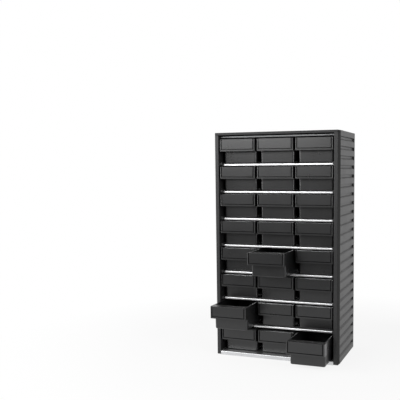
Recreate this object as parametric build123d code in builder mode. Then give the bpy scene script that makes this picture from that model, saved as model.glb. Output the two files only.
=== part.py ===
from build123d import *
import os

os.makedirs("parts", exist_ok=True)

# Sizes in millimetres. X runs to the right, Y to the back and Z up, from the middle of the footprint.

# Cabinet
cabinet_width = 310
cabinet_depth = 180
cabinet_height = 550
rows = 8
columns = 3
base_height = 10  # floor to the top of the bottom plate
shelf_offset = 1.5  # the shelves lie this much higher than even steps from the bottom plate
head_height = 8.5  # highest drawer level to the top of the cabinet

# Side panels
panel_thickness = 11.5
stile_width = 9  # flat front face of a panel
post_depth = 18  # the outer face of a panel flares outwards over this depth
post_edge_radius = 1.2
panel_rear_radius = 2
foot_radius = 7
ledge_setback = 8
ledge_above = 3
ledge_below = 3
groove_depth = 3.5

# Recessed bands on the outside of the panels
band_count = 24
band_height = 9.5
band_depth = 4
band_slope = 3.5  # the lower face of a band rises this much towards its bottom
band_corner = 2.5
band_front_margin = 19
band_rear_margin = 9.5
band_end_margin = 18  # panel end to the middle of the first band

# Sheet metal
shelf_sheet = 0.8
bottom_sheet = 1.0
top_sheet = 1.0
back_sheet = 0.8
bend_radius = 1.2
lip_setback = 17
lip_height = 5.4
lip_return = 3
bottom_flange_setback = 0.5
floor_gap = 0.5
ridge_height = 4.5
ridge_setback = 60
ridge_rear_margin = 12
top_plate_recess = 1.5  # top face of the top plate below the rims of the panels
top_rim_width = 3
top_rear_flange = 4
top_lip_reach = 3.2  # lip of the top plate below the highest drawer level
back_recess = 2.5  # outer face of the back panel inside the rear edges of the panels
back_rim_width = 4

# Rails on top of the panels
rail_height = 6
rail_wall = 2.2
front_rail_depth = 17
rear_rail_depth = 8
rail_edge_radius = 1
front_peg_radius = 2.2
rear_peg_radius = 1.5
peg_length = 8
peg_inset = 7  # outer face of a panel to the middle of a peg
rear_peg_setback = 6.1  # rear of the cabinet to the middle of a rear peg

# Screws that hold the back panel
screw_rows = 4
screw_end_margin = 40
screw_length = 11
screw_shank_radius = 1.2
screw_head_radius = 2.7
screw_head_height = 1.8
screw_drive_width = 0.8
screw_drive_depth = 0.8

# Drawers
drawer_gap = 5  # between the hoods of neighbouring drawers
drawer_top_gap = 7.2  # drawer top below the level above it
front_setback = 1
hood_height = 29.2
hood_depth = 20
hood_wall = 4.2
hood_web = 2
hood_corner = 3
cheek_overlap = 3  # the cheeks run on beside the bin
bin_inset = 2.2  # bin rim inside the hood on each side
bin_draft = 1.25  # bin floor inside the bin rim on each side
bin_wall = 1.8
bin_floor = 1.8
bin_corner = 5
bin_bottom_radius = 3
rim_bead = 0.8
rim_bead_height = 2.4
holder_flange = 3.2
holder_groove = 2.2
holder_groove_depth = 3.2
holder_sill = 3.5
holder_sill_groove = 1.7
holder_sill_depth = 3
tab_width = 16
tab_thickness = 2.2
tab_spacing = 60
tab_corner = 3
tab_reach = 12  # overlap of a tab with the rear wall of the bin
tab_top_gap = 1.6  # tab top below the level above it

# Fits
fit = 0.1  # between fixed pieces
running = 0.3  # between a drawer and what it slides on or stops at
guide_clearance = 0.75  # between a bin and the guides beside it
lip_clearance = 0.3  # between a lip and the ledges beside it
screw_clearance = 0.05
back_hole_clearance = 0.3

# How far three of the drawers are pulled out
pull_r5_c2 = 70
pull_r7_c1 = 68
pull_r8_c3 = 75

# Places that follow from the sizes
front = -cabinet_depth / 2
back = cabinet_depth / 2
row_pitch = (cabinet_height - base_height - shelf_offset - head_height) / rows
first_level = base_height + shelf_offset  # one step below the lowest shelf
clear_width = cabinet_width - 2 * panel_thickness
inner_face = clear_width / 2
column_pitch = clear_width / columns

hood_width = column_pitch - drawer_gap
bin_rim_width = hood_width - 2 * bin_inset
bin_floor_width = bin_rim_width - 2 * bin_draft
outer_column = column_pitch * (columns - 1) / 2
ledge_face = outer_column + bin_floor_width / 2 + guide_clearance
groove_face = ledge_face + groove_depth
lip_half = ledge_face - lip_clearance
wing_half = groove_face - fit
ridge_width = column_pitch - bin_floor_width - 2 * guide_clearance

back_outer = back - back_recess
back_inner = back_outer - back_sheet
sheet_rear = back_inner - fit
lip_front = front + lip_setback
ridge_front = front + ridge_setback
ridge_rear = back - ridge_rear_margin
rail_base = cabinet_height - rail_height
top_plate_top = cabinet_height - top_plate_recess
flare = panel_thickness - stile_width
peg_x = cabinet_width / 2 - peg_inset
front_peg_y = front + front_rail_depth / 2
rear_peg_y = back - rear_peg_setback
screw_x = (inner_face + cabinet_width / 2 - back_rim_width) / 2
screw_pitch = (cabinet_height - 2 * screw_end_margin) / (screw_rows - 1)
screw_middle = cabinet_height / 2

drawer_front = front + front_setback
drawer_rear = sheet_rear - shelf_sheet - running
drawer_bottom = running
drawer_top = row_pitch - drawer_top_gap
hood_bottom = drawer_top - hood_height
bin_front = drawer_front + hood_depth
bin_length = drawer_rear - bin_front
bin_middle = (drawer_rear + bin_front) / 2
tab_top = row_pitch - tab_top_gap


# One recessed band, as the solid that is taken out of the left panel
band_length = cabinet_depth - band_front_margin - band_rear_margin
band_middle = (band_front_margin - band_rear_margin) / 2
with BuildPart() as band:
    with BuildSketch(Plane.XZ.offset(-band_middle)) as band_section:
        with BuildLine():
            Polyline(
                (-cabinet_width / 2 - 1, band_height / 2),
                (-cabinet_width / 2 + band_depth, band_height / 2),
                (-cabinet_width / 2 + band_depth, band_slope - band_height / 2),
                (-cabinet_width / 2, -band_height / 2),
                (-cabinet_width / 2 - 1, -band_height / 2),
                close=True,
            )
        make_face()
    extrude(amount=band_length / 2, both=True)
    with BuildSketch(Plane.YZ.offset(-cabinet_width / 2 - 2)) as band_outline:
        with Locations((band_middle, 0)):
            RectangleRounded(band_length, band_height, band_corner)
    extrude(amount=band_depth + 4, mode=Mode.INTERSECT)


# Left side panel: the side view gives the slab, the plan gives the post and the rear corner
band_pitch = (cabinet_height - 2 * band_end_margin) / (band_count - 1)
with BuildPart() as side_panel_left:
    with BuildSketch(Plane.YZ.offset(-cabinet_width / 2)) as side_view:
        with Locations((0, cabinet_height / 2)):
            Rectangle(cabinet_depth, cabinet_height)
        fillet(side_view.vertices().group_by(Axis.Y)[0].sort_by(Axis.X)[0], foot_radius)
    extrude(amount=panel_thickness)
    with BuildSketch() as plan:
        with BuildLine():
            Polyline(
                (-inner_face, front),
                (-inner_face - stile_width, front),
                (-cabinet_width / 2, front + post_depth),
                (-cabinet_width / 2, back),
                (-inner_face, back),
                close=True,
            )
        make_face()
        fillet(plan.vertices().group_by(Axis.Y)[0], post_edge_radius)
        fillet(plan.vertices().group_by(Axis.Y)[-1].sort_by(Axis.X)[0], panel_rear_radius)
    extrude(amount=cabinet_height, mode=Mode.INTERSECT)

    # Ledges that carry the edges of the shelves and the bottom plate
    ledge_front = front + ledge_setback
    ledge_height = ledge_below + shelf_sheet + ledge_above
    with BuildSketch(Plane.XY.offset(base_height + ledge_above)):
        with Locations((-inner_face, ledge_front)):
            Rectangle(inner_face - ledge_face, sheet_rear - ledge_front, align=Align.MIN)
    for k in range(1, rows):
        with BuildSketch(Plane.XY.offset(first_level + ledge_above + row_pitch * k)):
            with Locations((-inner_face, ledge_front)):
                Rectangle(inner_face - ledge_face, sheet_rear - ledge_front, align=Align.MIN)
    extrude(amount=-ledge_height)

    # Grooves for the edges: the lowest runs out at the front, the others end behind the lips
    with BuildSketch(Plane.XY.offset(base_height + fit)) as bottom_groove:
        with Locations((-groove_face, ledge_front)):
            Rectangle(groove_depth, sheet_rear - ledge_front, align=Align.MIN)
    extrude(amount=-bottom_sheet - 2 * fit, mode=Mode.SUBTRACT)
    groove_front = lip_front + bend_radius + shelf_sheet
    for k in range(1, rows):
        with BuildSketch(Plane.XY.offset(first_level + fit + row_pitch * k)):
            with Locations((-groove_face, groove_front)):
                Rectangle(groove_depth, sheet_rear - groove_front, align=Align.MIN)
    extrude(amount=-shelf_sheet - 2 * fit, mode=Mode.SUBTRACT)

    # Seats of the rails, the top plate and the back panel
    with BuildSketch(Plane.YZ.offset(-cabinet_width / 2)) as rail_seats:
        with Locations((front, rail_base - fit)):
            Rectangle(front_rail_depth + fit, rail_height + fit, align=Align.MIN)
        with Locations((back - rear_rail_depth - fit, rail_base - fit)):
            Rectangle(rear_rail_depth + fit, rail_height + fit, align=Align.MIN)
    extrude(amount=panel_thickness, mode=Mode.SUBTRACT)
    with BuildSketch(Plane.XY.offset(cabinet_height)) as plate_seat:
        with Locations((-cabinet_width / 2 + top_rim_width, front)):
            Rectangle(panel_thickness - top_rim_width, cabinet_depth, align=Align.MIN)
    extrude(amount=-top_plate_recess - top_sheet - fit, mode=Mode.SUBTRACT)
    with BuildSketch(Plane.XZ.offset(-back)) as back_seat:
        with Locations((-cabinet_width / 2 + back_rim_width, 0)):
            Rectangle(panel_thickness - back_rim_width, cabinet_height, align=Align.MIN)
    extrude(amount=back - sheet_rear, mode=Mode.SUBTRACT)

    # Sockets for the pegs of the rails and pilot holes for the screws
    with BuildSketch(Plane.XY.offset(rail_base - fit)) as sockets:
        with Locations((-peg_x, front_peg_y)):
            Circle(front_peg_radius + fit)
        with Locations((-peg_x, rear_peg_y)):
            Circle(rear_peg_radius + fit)
    extrude(amount=-peg_length, mode=Mode.SUBTRACT)
    with BuildSketch(Plane.XZ.offset(-back)) as pilot_holes:
        with Locations((-screw_x, screw_middle)):
            with GridLocations(1, screw_pitch, 1, screw_rows):
                Circle(screw_shank_radius + screw_clearance)
    extrude(amount=back_recess + screw_length + 1, mode=Mode.SUBTRACT)

    # Recessed bands
    for k in range(band_count):
        with Locations((0, 0, band_end_margin + band_pitch * k)):
            add(band.part, mode=Mode.SUBTRACT)
side_panel_left.part.label = "side_panel_left"
export_step(side_panel_left.part, "parts/side_panel_left.step")

with BuildPart() as side_panel_right:
    mirror(side_panel_left.part, about=Plane.YZ)
side_panel_right.part.label = "side_panel_right"
export_step(side_panel_right.part, "parts/side_panel_right.step")


# Lowest shelf: a lip with a return in front, a flange at the back
shelf_level = first_level + row_pitch
with BuildPart() as shelf:
    with BuildSketch(Plane.YZ) as shelf_section:
        with BuildLine():
            FilletPolyline(
                (lip_front + lip_return, shelf_level - lip_height + shelf_sheet / 2),
                (lip_front + shelf_sheet / 2, shelf_level - lip_height + shelf_sheet / 2),
                (lip_front + shelf_sheet / 2, shelf_level - shelf_sheet / 2),
                (sheet_rear - shelf_sheet / 2, shelf_level - shelf_sheet / 2),
                (sheet_rear - shelf_sheet / 2, shelf_level - lip_height),
                radius=bend_radius,
            )
        trace(line_width=shelf_sheet)
    extrude(amount=lip_half, both=True)
    wing_front = lip_front + bend_radius + shelf_sheet + fit
    wing_rear = sheet_rear - bend_radius - shelf_sheet
    with BuildSketch(Plane.XY.offset(shelf_level)) as shelf_wings:
        with Locations((0, (wing_front + wing_rear) / 2)):
            Rectangle(2 * wing_half, wing_rear - wing_front)
    extrude(amount=-shelf_sheet)
    with BuildSketch(Plane.XY.offset(shelf_level)) as shelf_ridges:
        with Locations((0, (ridge_front + ridge_rear) / 2)):
            with GridLocations(column_pitch, 1, columns - 1, 1):
                SlotOverall(ridge_rear - ridge_front, ridge_width, rotation=90)
    extrude(amount=ridge_height)
    fillet(shelf.faces().group_by(Axis.Z)[-1].edges(), bend_radius)
    with BuildSketch(Plane.XY.offset(shelf_level - shelf_sheet)) as ridge_hollows:
        with Locations((0, (ridge_front + ridge_rear) / 2)):
            with GridLocations(column_pitch, 1, columns - 1, 1):
                SlotOverall(
                    ridge_rear - ridge_front - 2 * shelf_sheet,
                    ridge_width - 2 * shelf_sheet,
                    rotation=90,
                )
    extrude(amount=ridge_height, mode=Mode.SUBTRACT)

for k in range(1, rows):
    with BuildPart() as placed_shelf:
        with Locations((0, 0, row_pitch * (k - 1))):
            add(shelf.part)
    placed_shelf.part.label = "shelf_" + str(rows - k)
    export_step(placed_shelf.part, "parts/" + placed_shelf.part.label + ".step")


# Bottom plate: its front flange spans the opening from panel to panel
with BuildPart() as bottom_plate:
    with BuildSketch(Plane.YZ) as bottom_section:
        with BuildLine():
            FilletPolyline(
                (front + bottom_flange_setback + bottom_sheet / 2, floor_gap),
                (front + bottom_flange_setback + bottom_sheet / 2, base_height - bottom_sheet / 2),
                (sheet_rear - bottom_sheet / 2, base_height - bottom_sheet / 2),
                (sheet_rear - bottom_sheet / 2, floor_gap),
                radius=bend_radius,
            )
        trace(line_width=bottom_sheet)
    extrude(amount=inner_face - lip_clearance, both=True)
    plate_shoulder = front + ledge_setback - lip_clearance
    with BuildSketch(Plane.XY.offset(base_height)) as bottom_trim:
        with Locations((0, (plate_shoulder + back) / 2)):
            Rectangle(cabinet_width, back - plate_shoulder)
            Rectangle(2 * lip_half, back - plate_shoulder, mode=Mode.SUBTRACT)
    extrude(amount=-base_height, mode=Mode.SUBTRACT)
    with BuildSketch(Plane.XY.offset(base_height)) as bottom_wings:
        with Locations((0, (plate_shoulder + wing_rear) / 2)):
            Rectangle(2 * wing_half, wing_rear - plate_shoulder)
    extrude(amount=-bottom_sheet)
    with BuildSketch(Plane.XY.offset(base_height)) as bottom_ridges:
        with Locations((0, (ridge_front + ridge_rear) / 2)):
            with GridLocations(column_pitch, 1, columns - 1, 1):
                SlotOverall(ridge_rear - ridge_front, ridge_width, rotation=90)
    extrude(amount=ridge_height)
    fillet(bottom_plate.faces().group_by(Axis.Z)[-1].edges(), bend_radius)
    with BuildSketch(Plane.XY.offset(base_height - bottom_sheet)) as bottom_hollows:
        with Locations((0, (ridge_front + ridge_rear) / 2)):
            with GridLocations(column_pitch, 1, columns - 1, 1):
                SlotOverall(
                    ridge_rear - ridge_front - 2 * bottom_sheet,
                    ridge_width - 2 * bottom_sheet,
                    rotation=90,
                )
    extrude(amount=ridge_height, mode=Mode.SUBTRACT)
bottom_plate.part.label = "bottom_plate"
export_step(bottom_plate.part, "parts/bottom_plate.step")


# Top plate: lies in the rebates of the panels, its front lip hangs down behind the front rail
top_front = front + front_rail_depth + fit
top_rear = back - rear_rail_depth - fit
top_lip_bottom = cabinet_height - head_height - top_lip_reach
with BuildPart() as top_plate:
    with BuildSketch(Plane.YZ) as top_section:
        with BuildLine():
            FilletPolyline(
                (lip_front + lip_return, top_lip_bottom + top_sheet / 2),
                (top_front + top_sheet / 2, top_lip_bottom + top_sheet / 2),
                (top_front + top_sheet / 2, top_plate_top - top_sheet / 2),
                (top_rear - top_sheet / 2, top_plate_top - top_sheet / 2),
                (top_rear - top_sheet / 2, top_plate_top - top_rear_flange),
                radius=bend_radius,
            )
        trace(line_width=top_sheet)
    extrude(amount=inner_face - lip_clearance, both=True)
    top_wing_front = top_front + bend_radius + top_sheet
    top_wing_rear = top_rear - bend_radius - top_sheet
    with BuildSketch(Plane.XY.offset(top_plate_top)) as top_wings:
        with Locations((0, (top_wing_front + top_wing_rear) / 2)):
            Rectangle(cabinet_width - 2 * top_rim_width - 2 * fit, top_wing_rear - top_wing_front)
    extrude(amount=-top_sheet)
top_plate.part.label = "top_plate"
export_step(top_plate.part, "parts/top_plate.step")


# Front rail: follows the flare of the posts, hollow from below, a peg over each post
front_half = inner_face + stile_width
rail_flare = flare * front_rail_depth / post_depth
with BuildPart() as top_front_rail:
    with BuildSketch(Plane.XY.offset(rail_base)) as front_rail_plan:
        with BuildLine():
            Polyline(
                (-front_half, front),
                (front_half, front),
                (front_half + rail_flare, front + front_rail_depth),
                (-front_half - rail_flare, front + front_rail_depth),
                close=True,
            )
        make_face()
        fillet(front_rail_plan.vertices().group_by(Axis.Y)[0], post_edge_radius)
    extrude(amount=rail_height)
    fillet(
        top_front_rail.faces().sort_by(Axis.Z)[-1].edges().filter_by(Axis.Y, reverse=True),
        rail_edge_radius,
    )
    with BuildSketch(Plane.XY.offset(rail_base)) as front_rail_hollow:
        with Locations((0, front_peg_y)):
            Rectangle(clear_width, front_rail_depth - 2 * rail_wall)
    extrude(amount=rail_height - rail_wall, mode=Mode.SUBTRACT)
    with BuildSketch(Plane.XY.offset(rail_base)) as front_pegs:
        with Locations((0, front_peg_y)):
            with GridLocations(2 * peg_x, 1, 2, 1):
                Circle(front_peg_radius)
    extrude(amount=-peg_length + fit)
top_front_rail.part.label = "top_front_rail"
export_step(top_front_rail.part, "parts/top_front_rail.step")


# Rear rail: hollow from below, so that the back panel ends inside it
with BuildPart() as top_rear_rail:
    with BuildSketch(Plane.XY.offset(rail_base)) as rear_rail_plan:
        with Locations((0, back - rear_rail_depth / 2)):
            Rectangle(cabinet_width, rear_rail_depth)
        fillet(rear_rail_plan.vertices().group_by(Axis.Y)[-1], panel_rear_radius)
    extrude(amount=rail_height)
    with BuildSketch(Plane.XY.offset(rail_base)) as rear_rail_hollow:
        with Locations((0, back - rear_rail_depth / 2)):
            Rectangle(2 * (cabinet_width / 2 - back_rim_width), rear_rail_depth - rail_wall)
    extrude(amount=rail_height - rail_wall, mode=Mode.SUBTRACT)
    with BuildSketch(Plane.XY.offset(rail_base + rail_height - rail_wall)) as rear_pegs:
        with Locations((0, rear_peg_y)):
            with GridLocations(2 * peg_x, 1, 2, 1):
                Circle(rear_peg_radius)
    extrude(amount=-rail_height + rail_wall - peg_length + fit)
top_rear_rail.part.label = "top_rear_rail"
export_step(top_rear_rail.part, "parts/top_rear_rail.step")


# Back panel and its screws
back_half = cabinet_width / 2 - back_rim_width - 2 * fit
back_top = cabinet_height - rail_wall - rail_height / 3
with BuildPart() as back_panel:
    with BuildSketch(Plane.XZ.offset(-back_outer)) as back_outline:
        with Locations((0, floor_gap)):
            Rectangle(2 * back_half, back_top - floor_gap, align=(Align.CENTER, Align.MIN))
        with Locations((0, screw_middle)):
            with GridLocations(2 * screw_x, screw_pitch, 2, screw_rows):
                Circle(screw_shank_radius + back_hole_clearance, mode=Mode.SUBTRACT)
    extrude(amount=back_sheet)
back_panel.part.label = "back_panel"
export_step(back_panel.part, "parts/back_panel.step")

with BuildPart() as back_screw:
    with BuildSketch(Plane.XZ.offset(-back_outer)) as shank:
        Circle(screw_shank_radius)
    extrude(amount=screw_length)
    chamfer(back_screw.edges().sort_by(Axis.Y)[0], screw_shank_radius / 2)
    with BuildSketch(Plane.XZ.offset(-back_outer)) as head:
        Circle(screw_head_radius)
    extrude(amount=-screw_head_height)
    fillet(back_screw.edges().sort_by(Axis.Y)[-1], screw_head_height / 2)
    with BuildSketch(Plane.XZ.offset(-back_outer - screw_head_height)) as drive:
        Rectangle(screw_drive_width, 1.2 * screw_head_radius)
        Rectangle(1.2 * screw_head_radius, screw_drive_width)
    extrude(amount=screw_drive_depth, mode=Mode.SUBTRACT)

with BuildPart() as back_screws:
    for side in (-1, 1):
        for k in range(screw_rows):
            with Locations((side * screw_x, screw_clearance, screw_end_margin + screw_pitch * k)):
                add(back_screw.part)
back_screws.part.label = "back_screws"
export_step(back_screws.part, "parts/back_screws.step")


# Drawer, closed, in the middle column and with its shelf at Z = 0
with BuildPart() as drawer:
    # Hood: a front band, two cheeks and a web on top, with room for the fingers below the web
    with BuildSketch(Plane.XY.offset(hood_bottom)) as hood_plan:
        with Locations((0, drawer_front)):
            Rectangle(hood_width, hood_depth + cheek_overlap, align=(Align.CENTER, Align.MIN))
        fillet(hood_plan.vertices().group_by(Axis.Y)[0], hood_corner)
    extrude(amount=hood_height)
    with BuildSketch(Plane.XY.offset(hood_bottom)) as finger_room:
        with Locations((0, drawer_front + hood_wall)):
            Rectangle(
                hood_width - 2 * hood_wall,
                hood_depth + cheek_overlap - hood_wall,
                align=(Align.CENTER, Align.MIN),
            )
    extrude(amount=hood_height - hood_web, mode=Mode.SUBTRACT)

    # Bin with a slight draft, a bead along its rim and rounded lower edges
    with BuildSketch(Plane.XY.offset(drawer_bottom)) as bin_base:
        with Locations((0, bin_middle)):
            RectangleRounded(bin_floor_width, bin_length - 2 * bin_draft, bin_corner)
    with BuildSketch(Plane.XY.offset(drawer_top)) as bin_rim:
        with Locations((0, bin_middle)):
            RectangleRounded(bin_rim_width, bin_length, bin_corner)
    loft()
    fillet(drawer.faces().sort_by(Axis.Z)[0].edges(), bin_bottom_radius)
    with BuildSketch(Plane.XY.offset(drawer_top)) as bead_outline:
        with Locations((0, bin_middle)):
            RectangleRounded(bin_rim_width + 2 * rim_bead, bin_length, bin_corner)
    extrude(amount=-rim_bead_height)
    with BuildSketch(Plane.XY.offset(drawer_bottom + bin_floor)) as inner_base:
        with Locations((0, bin_middle)):
            RectangleRounded(
                bin_floor_width - 2 * bin_wall,
                bin_length - 2 * bin_draft - 2 * bin_wall,
                bin_corner - bin_wall,
            )
    with BuildSketch(Plane.XY.offset(drawer_top)) as inner_rim:
        with Locations((0, bin_middle)):
            RectangleRounded(
                bin_rim_width - 2 * bin_wall,
                bin_length - 2 * bin_wall,
                bin_corner - bin_wall,
            )
    loft(mode=Mode.SUBTRACT)

    # Label holder: grooves behind a flange left, right and below
    groove_middle = hood_width / 2 - holder_flange - holder_groove / 2
    with BuildSketch(Plane.XZ.offset(-drawer_front)) as side_grooves:
        with Locations((0, hood_bottom + holder_sill)):
            with GridLocations(2 * groove_middle, 1, 2, 1):
                Rectangle(holder_groove, hood_height, align=(Align.CENTER, Align.MIN))
    extrude(amount=-holder_groove_depth, mode=Mode.SUBTRACT)
    with BuildSketch(Plane.XZ.offset(-drawer_front)) as sill_groove:
        with Locations((0, hood_bottom + holder_sill)):
            Rectangle(2 * groove_middle, holder_sill_groove, align=(Align.CENTER, Align.MIN))
    extrude(amount=-holder_sill_depth, mode=Mode.SUBTRACT)

    # Stop tabs on the rear wall, which meet the lip of the shelf above when the drawer is open
    with BuildSketch(Plane.XZ.offset(-drawer_rear)) as tabs:
        with Locations((0, drawer_top - tab_reach)):
            with GridLocations(tab_spacing, 1, 2, 1):
                Rectangle(
                    tab_width,
                    tab_top - drawer_top + tab_reach,
                    align=(Align.CENTER, Align.MIN),
                )
        fillet(tabs.vertices().group_by(Axis.Y)[-1], tab_corner)
    extrude(amount=tab_thickness)

for row in range(1, rows + 1):
    for column in range(1, columns + 1):
        pull = 0
        if (row, column) == (5, 2):
            pull = pull_r5_c2
        if (row, column) == (7, 1):
            pull = pull_r7_c1
        if (row, column) == (8, 3):
            pull = pull_r8_c3
        column_x = column_pitch * (column - 1) - outer_column
        shelf_z = first_level + row_pitch * (rows - row)
        if row == rows:
            shelf_z = base_height
        with BuildPart() as placed_drawer:
            with Locations((column_x, -pull, shelf_z)):
                add(drawer.part)
        placed_drawer.part.label = "drawer_r" + str(row) + "_c" + str(column)
        export_step(placed_drawer.part, "parts/" + placed_drawer.part.label + ".step")
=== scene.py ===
# %% [markdown]
# # A parts cabinet with pull-out drawers
#
# The cabinet is two moulded side panels joined by folded sheet shelves. Drawers of black plastic
# slide on the shelves. Every piece already has its exact shape as a solid, so this lesson is about
# seeing them: a camera, plain studio light, a finish for each material and softened edges.

# %% Load the model
import math

import bmesh
import bpy
import numpy as np
from mathutils import Matrix, Vector


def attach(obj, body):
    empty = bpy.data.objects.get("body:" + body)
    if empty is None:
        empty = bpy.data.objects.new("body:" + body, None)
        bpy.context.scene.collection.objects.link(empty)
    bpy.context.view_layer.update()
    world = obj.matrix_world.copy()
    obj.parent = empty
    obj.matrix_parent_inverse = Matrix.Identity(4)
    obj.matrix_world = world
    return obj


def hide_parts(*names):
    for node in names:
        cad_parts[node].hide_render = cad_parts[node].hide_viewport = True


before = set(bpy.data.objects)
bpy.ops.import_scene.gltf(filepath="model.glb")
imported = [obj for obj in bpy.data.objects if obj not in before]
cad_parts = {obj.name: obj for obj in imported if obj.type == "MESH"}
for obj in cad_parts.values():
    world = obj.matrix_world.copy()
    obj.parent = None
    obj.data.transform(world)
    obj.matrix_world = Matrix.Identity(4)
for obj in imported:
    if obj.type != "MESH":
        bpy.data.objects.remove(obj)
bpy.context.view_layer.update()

# %% [markdown]
# ## The camera
#
# A photograph of a tall box keeps its upright edges nearly parallel when the camera is level with
# it. This one stands to the right of the cabinet, near the height of the second row of drawers, and
# looks a little down. The cabinet lies right of the middle of the picture and below it. Turning the
# camera would make the uprights lean, so the sensor is shifted instead.

# %% Where the camera stands and which way it looks
image_width = 400  # pixels; the picture is square
focal_pixels = 636.5
axis_pixel = (260, 230)  # where the camera's own axis meets the picture
camera_place = Vector((0.482, -1.522, 0.458))
turn_left, look_down, roll = math.radians(19.93), math.radians(5.32), math.radians(-0.37)

forward = Vector((
    -math.sin(turn_left) * math.cos(look_down),
    math.cos(turn_left) * math.cos(look_down),
    -math.sin(look_down),
))
level_right = Vector((math.cos(turn_left), math.sin(turn_left), 0))
level_up = level_right.cross(forward)
right = math.cos(roll) * level_right + math.sin(roll) * level_up
up = -math.sin(roll) * level_right + math.cos(roll) * level_up
print("the camera looks along", [round(v, 3) for v in forward])

# %% The camera and its lens
lens = bpy.data.cameras.new("photo_camera")
lens.sensor_width = 36
lens.lens = focal_pixels / image_width * lens.sensor_width
lens.shift_x = (image_width / 2 - axis_pixel[0]) / image_width
lens.shift_y = (axis_pixel[1] - image_width / 2) / image_width
camera = bpy.data.objects.new("photo_camera", lens)
axes = Matrix((right, up, -forward)).transposed().to_4x4()
camera.matrix_world = Matrix.Translation(camera_place) @ axes
bpy.context.scene.collection.objects.link(camera)
bpy.context.scene.camera = camera
print("lens", round(lens.lens, 2), "mm, shift", lens.shift_x, lens.shift_y)

# %% [markdown]
# ## Shader arithmetic in Python
#
# A pattern on a surface is a sum or product of simpler patterns. Written as nodes that is a long list
# of wires, so a small class stands for one socket and turns Python's own operators into Math nodes.
# Every other node comes from one method that first sets the node up and then fills its sockets.

# %% Sockets with arithmetic
class Wire:
    """One output socket; arithmetic on it adds the Math node that does the same sum."""

    def __init__(self, finish, socket):
        self.finish, self.socket = finish, socket

    def maths(self, operation, first, second):
        return self.finish.add("ShaderNodeMath", {"operation": operation}, {0: first, 1: second})

    def __add__(self, other):
        return self.maths("ADD", self, other)

    def __radd__(self, other):
        return self.maths("ADD", other, self)

    def __sub__(self, other):
        return self.maths("SUBTRACT", self, other)

    def __rsub__(self, other):
        return self.maths("SUBTRACT", other, self)

    def __mul__(self, other):
        return self.maths("MULTIPLY", self, other)

    def __rmul__(self, other):
        return self.maths("MULTIPLY", other, self)

    def clipped(self):
        """The value kept between 0 and 1."""
        return self.maths("MINIMUM", self.maths("MAXIMUM", self, 0), 1)


print("a Wire can add, subtract, multiply and be clipped")


# %% A finish being built
class Finish:
    """A material or world being built, node by node."""

    def __init__(self, owner):
        owner.use_nodes = True
        self.owner, self.tree = owner, owner.node_tree
        self.tree.nodes.clear()

    def add(self, kind, settings=None, values=None, output=0):
        """A node of this kind, set up first and its sockets filled next; one output comes back."""
        node = self.tree.nodes.new(kind)
        for key, value in (settings or {}).items():
            setattr(node, key, value)
        for key, value in (values or {}).items():
            if isinstance(value, Wire):
                self.tree.links.new(value.socket, node.inputs[key])
            else:
                node.inputs[key].default_value = value
        return Wire(self, node.outputs[output]) if node.outputs else None


print("a Finish adds any node")


# %% Patterns and mixes that the finishes share
def coordinate(made, vector, axis):
    """One coordinate, X, Y or Z, of a place or direction."""
    return made.add("ShaderNodeSeparateXYZ", values={0: vector}, output=axis)


def noise(made, place, scale, **more):
    """A soft cloud of values near a half; a larger scale makes it finer."""
    values = {"Vector": place, "Scale": scale, **more}
    return made.add("ShaderNodeTexNoise", values=values)


def tinted(colour, factor):
    """The colour times a factor, kept at or below 1, with an alpha of 1."""
    return (*[min(part * factor, 1) for part in colour], 1)


def colour_between(made, share, first, second):
    """The first colour where share is 0, the second where it is 1, a blend in between."""
    return made.add(
        "ShaderNodeMix", {"data_type": "RGBA"}, {0: share, 6: first, 7: second}, output=2
    )


def finished(made, surface):
    """Wires the surface to the material's output and hands the material back."""
    made.add("ShaderNodeOutputMaterial", values={"Surface": surface})
    return made.owner


print("shared patterns ready")

# %% [markdown]
# ## The studio
#
# Product photographs of black plastic are lit by large white surfaces, because black shows what it
# reflects more than its own colour. Here the world is white where the camera or a reflection sees
# it, and a softer white where it lights the object. Low down behind the camera the room is dark, as
# rooms are, so reflections dim there and the fronts of the lower drawers turn blacker. The floor is
# a sheet of white paper that ends in front of the cabinet, and it keeps the shadow.

# %% A mask for the rays that see the background
def seen_directly(made):
    """1 for rays from the camera, a gloss or a glass, 0 for rays that only carry soft light."""
    total = 0
    for output in ("Is Camera Ray", "Is Glossy Ray", "Is Transmission Ray"):
        total = made.add("ShaderNodeLightPath", output=output) + total
    return total.clipped()


print("mask ready")

# %% World
soft_light = 0.42
darkest = 0.95  # how much of the white goes where the room is darkest

world = bpy.data.worlds.new("studio")
bpy.context.scene.world = world
sky = Finish(world)
seen = seen_directly(sky)
gloss = sky.add("ShaderNodeLightPath", output="Is Glossy Ray")
direction = sky.add("ShaderNodeTexCoord", output="Generated")
to_front = 0 - coordinate(sky, direction, "Y")
upwards = coordinate(sky, direction, "Z")
behind_camera = ((to_front - 0.35) * 2.5).clipped()
low = (1 - (upwards + 0.25) * 2.2).clipped()
strength = seen * (1 - darkest * gloss * behind_camera * low) + (1 - seen) * soft_light
background = sky.add(
    "ShaderNodeBackground", values={"Color": (1, 1, 1, 1), "Strength": strength}
)
sky.add("ShaderNodeOutputWorld", values={"Surface": background})
print("world: white behind the object,", soft_light, "as light")

# %% Floor: one flat face, because the cabinet stands on it
floor_half = 4.0
paper_front = -0.72
floor_mesh = bpy.data.meshes.new("floor")
corners = np.array([[-1, -1, 0], [1, -1, 0], [1, 1, 0], [-1, 1, 0]]) * floor_half
corners[:2, 1] = paper_front
floor_mesh.from_pydata(corners.tolist(), [], [(0, 1, 2, 3)])
floor = bpy.data.objects.new("floor", floor_mesh)
bpy.context.scene.collection.objects.link(floor)
print("floor", 2 * floor_half, "m wide, from y =", paper_front, "to", floor_half)

# %% Floor paper: matt near the cabinet, for the shadow, and pure white farther away
paper_white = (0.88, 0.88, 0.88, 1)
least_blank = 0.86  # the share of pure white at the cabinet's foot
fade_start, fade_rate = 0.4, 2.6  # metres from the middle, and share per metre

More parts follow.
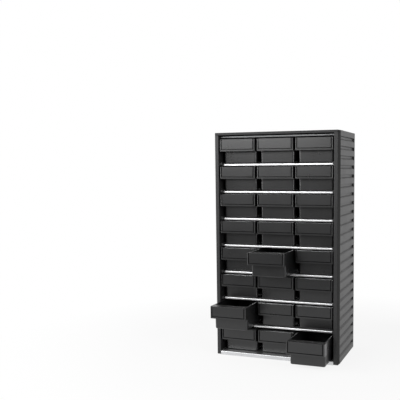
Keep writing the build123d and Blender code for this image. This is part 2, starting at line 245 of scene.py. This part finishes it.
paper = Finish(bpy.data.materials.new("floor_paper"))
matt = paper.add("ShaderNodeBsdfDiffuse", values={"Color": paper_white})
white = paper.add("ShaderNodeEmission", values={"Color": (1, 1, 1, 1), "Strength": 1.0})
place = paper.add("ShaderNodeTexCoord", output="Object")
reach = paper.add("ShaderNodeVectorMath", {"operation": "LENGTH"}, {0: place}, output="Value")
blank = least_blank + (1 - least_blank) * ((reach - fade_start) * fade_rate).clipped()
both = paper.add(
    "ShaderNodeMixShader", values={0: seen_directly(paper) * blank, 1: matt, 2: white}
)
floor_mesh.materials.append(finished(paper, both))
print("floor paper", paper_white[0])


# %% Lamps
def soft_lamp(name, place, target, size, power):
    """An area lamp of the given size in metres, turned so that it shines from place to target."""
    data = bpy.data.lights.new(name, "AREA")
    data.shape, data.size, data.size_y, data.energy = "RECTANGLE", size[0], size[1], power
    lamp = bpy.data.objects.new(name, data)
    aim = (Vector(target) - Vector(place)).to_track_quat("-Z", "Y")
    lamp.matrix_world = Matrix.Translation(place) @ aim.to_matrix().to_4x4()
    bpy.context.scene.collection.objects.link(lamp)
    print("lamp", name, power, "W")


wide, tall = (0.85, 0.52), (0.3, 1.0)
soft_lamp("front_lamp", (-0.62, -1.45, 0.9), (-0.02, -0.08, 0.46), wide, 9)
soft_lamp("right_lamp", (1.36, -0.88, 0.75), (0.1, 0, 0.4), tall, 9)
soft_lamp("left_lamp", (-1.34, -0.9, 0.72), (-0.1, 0, 0.4), tall, 12)

# %% [markdown]
# ## Moulded plastic
#
# The panels and drawers are black plastic from a textured mould: a fine grain that only shows in the
# highlights, slow changes in gloss where the plastic flowed, and a trace of dust on faces that look
# up. The grain is a bump, the rest is roughness and colour. Narrow grooves get painted shade: an
# Ambient Occlusion node finds them and mixes in a near-black matt. The outer strip of each front post
# is painted darker the same way, as painted shade, and its place on the cabinet says where it is.

# %% Where a post turns to the side
post_edge_x = 0.1519  # half the width at which the rounded edge of a post begins
post_rear_y = -0.0722  # where the post ends and the banded side begins


def strip_shade_mask(made, place):
    """Painted shade mask: 1 on the outer strip of either front post, far out in X and in front of the
    bands in Y.
    """
    across, along = coordinate(made, place, "X"), coordinate(made, place, "Y")
    outward = made.add("ShaderNodeMath", {"operation": "ABSOLUTE"}, {0: across})
    return (
        ((outward - post_edge_x) * 1600).clipped() * ((post_rear_y - along) * 4000).clipped()
    )


print("outer strip of a post:", round((0.155 - post_edge_x) * 1000, 1), "mm of the width")

# %% Plastic finish
dust_colour = (0.32, 0.31, 0.3, 1)
# Painted shade: the near-black matt that grooves and the posts' outer strips are mixed towards.
shade_matt_colour = (0.004, 0.004, 0.004, 1)
shade_reach = 0.004  # metres
# Painted shade on the outer strip of each front post: the share mixed towards the near-black matt.
strip_shade = 0.72


def moulded_plastic(name, colour, gloss_low, gloss_high, grain_size, grain_depth, refraction):
    """Black plastic: roughness runs between the two gloss values with the flow of the plastic,
    plus the dust, and a grain of the given size and depth in metres is a bump."""
    made = Finish(bpy.data.materials.new(name))
    place = made.add("ShaderNodeTexCoord", output="Object")
    flow = noise(made, place, 22.0, Detail=3.0, Roughness=0.6)
    grain = noise(made, place, 1.0 / grain_size, Detail=2.0)
    facing = made.add("ShaderNodeNewGeometry", output="Normal")
    looks_up = coordinate(made, facing, "Z").clipped()
    dust = (looks_up * flow * 0.5).clipped()
    clean = colour_between(made, flow, tinted(colour, 0.8), tinted(colour, 1.25))
    shown = colour_between(made, dust * 0.12, clean, dust_colour)
    roughness = (gloss_low + (gloss_high - gloss_low) * flow + dust * 0.15).clipped()
    bump = made.add(
        "ShaderNodeBump", values={"Height": grain, "Strength": 0.6, "Distance": grain_depth}
    )
    skin = made.add(
        "ShaderNodeBsdfPrincipled",
        values={"Base Color": shown, "Roughness": roughness, "Normal": bump, "IOR": refraction},
    )
    # Painted shade: where Ambient Occlusion finds a narrow groove, the surface is mixed towards the
    # near-black matt.
    shade_matt = made.add("ShaderNodeBsdfDiffuse", values={"Color": shade_matt_colour})
    open_share = made.add(
        "ShaderNodeAmbientOcclusion",
        {"samples": 6, "only_local": True},
        {"Distance": shade_reach},
        output="AO",
    )
    groove_shade = ((0.65 - open_share) * 1.9).clipped()
    shade_share = (groove_shade + strip_shade_mask(made, place) * strip_shade).clipped()
    return finished(made, made.add("ShaderNodeMixShader", values={0: shade_share, 1: skin, 2: shade_matt}))


panel_black, drawer_black = (0.013, 0.013, 0.0135), (0.009, 0.009, 0.0095)
rail_black, shadow_black = (0.012, 0.012, 0.0125), (0.003, 0.003, 0.003)
coarse, fine = (0.0008, 0.00003), (0.0006, 0.000015)  # size and depth of the grain
panel_plastic = moulded_plastic("panel_plastic", panel_black, 0.4, 0.5, *coarse, 1.49)
drawer_plastic = moulded_plastic("drawer_plastic", drawer_black, 0.24, 0.34, *fine, 1.58)
rail_plastic = moulded_plastic("rail_plastic", rail_black, 0.4, 0.5, *coarse, 1.39)
# Painted shadow: a near-black plastic, darker than the rail, for the strip under the front rail.
painted_shadow_black = moulded_plastic("painted_shadow_black", shadow_black, 0.6, 0.7, *coarse, 1.25)
print("plastic:", [finish.name for finish in (panel_plastic, drawer_plastic, rail_plastic)])

# %% [markdown]
# ## Zinc-coated sheet and painted sheet
#
# The shelves are sheet steel with a bright zinc coat. Zinc freezes in flat crystals, so patches a few
# millimetres wide reflect a little differently. Rolling leaves faint streaks along the sheet. The
# bottom plate gets a darker copy of the zinc, which paints shade on it. The top and the back are
# painted, which fills the streaks and leaves a soft ripple.

# %% Zinc finish
streak_scale = (12.0, 900.0, 900.0)  # long in X, fine in Y and Z


def zinc_coat(name, colour):
    """Metal whose colour and roughness change a little from crystal to crystal, and whose
    roughness and bump follow fine streaks along X."""
    made = Finish(bpy.data.materials.new(name))
    place = made.add("ShaderNodeTexCoord", output="Object")
    crystal = made.add(
        "ShaderNodeTexVoronoi",
        values={"Vector": place, "Scale": 190.0, "Randomness": 1.0},
        output="Color",
    )
    tone = coordinate(made, crystal, "X")
    stretched = made.add("ShaderNodeMapping", values={"Vector": place, "Scale": streak_scale})
    streak = noise(made, stretched, 1.0, Detail=2.0)
    bump = made.add(
        "ShaderNodeBump", values={"Height": streak, "Strength": 0.25, "Distance": 0.00002}
    )
    skin = made.add(
        "ShaderNodeBsdfPrincipled",
        values={
            "Base Color": colour_between(made, tone, tinted(colour, 0.94), tinted(colour, 1.03)),
            "Roughness": (0.3 + 0.04 * tone + 0.04 * streak).clipped(),
            "Metallic": 0.9,
            "Normal": bump,
        },
    )
    return finished(made, skin)


zinc_sheet = zinc_coat("zinc_sheet", (0.9, 0.905, 0.915))
# Painted shade: the bottom plate's zinc is a darker copy of the shelves' zinc.
shaded_zinc = zinc_coat("shaded_zinc", (0.66, 0.665, 0.675))
screw_steel = zinc_coat("screw_steel", (0.66, 0.66, 0.68))
print("zinc:", zinc_sheet.name, shaded_zinc.name, screw_steel.name)


# %% Paint finish
def painted_sheet(name, colour):
    """Painted steel: an even colour with slow clouds, and the soft ripple of the paint as a bump."""
    made = Finish(bpy.data.materials.new(name))
    place = made.add("ShaderNodeTexCoord", output="Object")
    ripple = noise(made, place, 420.0, Detail=2.0)
    cloud = noise(made, place, 9.0, Detail=3.0)
    bump = made.add(
        "ShaderNodeBump", values={"Height": ripple, "Strength": 0.3, "Distance": 0.00004}
    )
    skin = made.add(
        "ShaderNodeBsdfPrincipled",
        values={
            "Base Color": colour_between(made, cloud, tinted(colour, 0.94), tinted(colour, 1.05)),
            "Roughness": 0.36 + 0.1 * cloud,
            "Normal": bump,
        },
    )
    return finished(made, skin)


light_paint = painted_sheet("light_paint", (0.55, 0.56, 0.57))
print("paint:", light_paint.name)

# %% Give each piece its finish
finish_of = {
    "side_panel_left": panel_plastic,
    "side_panel_right": panel_plastic,
    "top_front_rail": rail_plastic,
    "top_rear_rail": rail_plastic,
    "top_plate": light_paint,
    "bottom_plate": shaded_zinc,
    "back_panel": light_paint,
    "back_screws": screw_steel,
}
drawers = [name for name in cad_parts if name.startswith("drawer")]
finish_of.update({name: drawer_plastic for name in drawers})
for name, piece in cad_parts.items():
    piece.data.materials.clear()
    piece.data.materials.append(finish_of.get(name, zinc_sheet))
print("finishes on", len(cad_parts), "pieces, of which", len(drawers), "are drawers")

# %% [markdown]
# ## Softened edges
#
# No moulded edge is truly sharp, and the thin light line along it is what makes plastic look real.
# The solids come as loose triangles, so a copy is merged first and its flat faces are joined again.
# A Bevel modifier then rounds the edges that turn far enough. Where two edges lie closer together
# than a bevel is wide it would fold over itself, so an edge is only rounded if its faces leave it
# room. A Weighted Normal modifier keeps the flat faces flat.

# %% How much flat room a face leaves beside an edge
nothing_near = 1.0  # metres, more than any face here is wide
past_end = 0.02  # a neighbour this share of the edge past its ends still counts
touching = 1e-6  # metres, for the neighbours that share a corner


def room_beside(edge, face):
    """Shortest way across the face from the edge to another of its edges, square to the edge.
    It is measured at both ends of each other edge and at its point nearest to the middle."""
    start, along = edge.verts[0].co, edge.verts[1].co - edge.verts[0].co
    middle = start + along / 2
    nearest = nothing_near
    for other in face.edges:
        if other is edge:
            continue
        first, second = other.verts[0].co, other.verts[1].co
        run = second - first
        share = min(max((middle - first).dot(run) / max(run.length_squared, 1e-18), 0), 1)
        for point in (first, second, first + run * share):
            beside = (point - start).dot(along) / along.length_squared
            away = (point - start - along * beside).length
            if -past_end < beside < 1 + past_end and away > touching:
                nearest = min(nearest, away)
    return nearest


print("room is measured square to an edge")

# %% A merged copy with its edges marked
merge_distance = 0.000005  # metres
flat_limit = math.radians(0.2)  # faces that turn less than this are one face
turn_limit = math.radians(28)  # an edge that turns more than this is sharp
crease_limit = math.radians(4)  # and so is one between wide flat faces that turn more than this
flat_room = 0.004  # metres beside an edge that make a face wide
room_needed = 2.2  # times the radius of the bevel


def marked_copy(mesh, radius):
    """The mesh merged, with sharp edges marked, and bevel weight 1 where the edge has the room."""
    mesh = mesh.copy()
    work = bmesh.new()
    work.from_mesh(mesh)
    bmesh.ops.remove_doubles(work, verts=work.verts, dist=merge_distance)
    bmesh.ops.dissolve_limit(work, angle_limit=flat_limit, verts=work.verts, edges=work.edges)
    weight = work.edges.layers.float.new("bevel_weight_edge")
    for edge in work.edges:
        turn = edge.calc_face_angle(0)
        if turn > crease_limit:
            room = min(room_beside(edge, face) for face in edge.link_faces)
            edge[weight] = float(turn > turn_limit and room > room_needed * radius)
            edge.smooth = turn <= turn_limit and room < flat_room
    work.to_mesh(mesh)
    work.free()
    mesh.polygons.foreach_set("use_smooth", np.ones(len(mesh.polygons), dtype=bool))
    return mesh


print("edges beyond", round(math.degrees(turn_limit)), "degrees are sharp")


# %% A moulded piece with softened edges
def softened(name, body, radius):
    """The piece's surface with a rounded strip in place of each sharp edge that has the room."""
    piece = bpy.data.objects.new(name + "_soft", marked_copy(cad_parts[name].data, radius))
    bpy.context.scene.collection.objects.link(piece)
    bevel = piece.modifiers.new("softened", "BEVEL")
    bevel.width, bevel.segments, bevel.limit_method = radius, 2, "WEIGHT"
    bevel.use_clamp_overlap = False
    flat = piece.modifiers.new("flat_faces", "WEIGHTED_NORMAL")
    flat.keep_sharp = True
    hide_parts(name)
    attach(piece, body)
    return piece


drawer_radius, panel_radius = 0.00035, 0.0004
for name in drawers:
    softened(name, name, drawer_radius)
for name in ("side_panel_left", "side_panel_right", "top_front_rail", "top_rear_rail"):
    softened(name, "cabinet", panel_radius)
print("softened", len(drawers), "drawers and 4 other mouldings")

# %% [markdown]
# ## Painted shadow behind the front rail
#
# Under the front rail a thin black line parts it from the light sheet behind. It is painted shadow:
# a strip in a blacker plastic than the rail, hung from the rail's inner wall a little lower than its
# front. It is a profile carried along X: a straight bar whose lower end is half a circle. A cube
# would do from far away, but its sharp lower corners would shine.

# %% A bar from a profile
def strip_along_x(name, section, half_length):
    """A closed bar: each point of the (y, z) section is carried from -half_length to half_length,
    and a cap of the section's own shape closes each end."""
    section = np.array(section)
    ends = [
        np.column_stack((np.full(len(section), x), section)) for x in (-half_length, half_length)
    ]
    count = len(section)
    here = np.arange(count)
    following = (here + 1) % count
    sides = np.column_stack((here, following, following + count, here + count))
    caps = [here[::-1].tolist(), (here + count).tolist()]
    mesh = bpy.data.meshes.new(name)
    mesh.from_pydata(np.vstack(ends).tolist(), [], sides.tolist() + caps)
    piece = bpy.data.objects.new(name, mesh)
    bpy.context.scene.collection.objects.link(piece)
    return piece


print("a bar has one face for each side of its profile, and two caps")

# %% The strip of painted shadow
wall_front, wall_rear = -0.075, -0.0732  # y of the inner wall of the rail
rail_bottom = 0.544
round_height = 0.5425  # z where the sides of the wall begin to round
wall_half_length = 0.1433

wall_middle, wall_half = (wall_front + wall_rear) / 2, (wall_rear - wall_front) / 2
turns = np.linspace(0, math.pi, 9)
lower_end = np.column_stack(
    (wall_middle - wall_half * np.cos(turns), round_height - wall_half * np.sin(turns))
)
upper_end = [(wall_rear, rail_bottom), (wall_front, rail_bottom)]
rail_shadow_strip = strip_along_x(
    "front_rail_shadow_strip", [*lower_end.tolist(), *upper_end], wall_half_length
)
# Painted shadow: the strip gets the near-black plastic.
rail_shadow_strip.data.materials.append(painted_shadow_black)
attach(rail_shadow_strip, "cabinet")
print("rail edge", len(rail_shadow_strip.data.polygons), "faces")

# %% [markdown]
# ## The view transform
#
# The looks must not grow the object. The picture is shown with the plain Standard view, which leaves
# each colour as it is.

# %% The view transform
bpy.context.scene.view_settings.view_transform = "Standard"
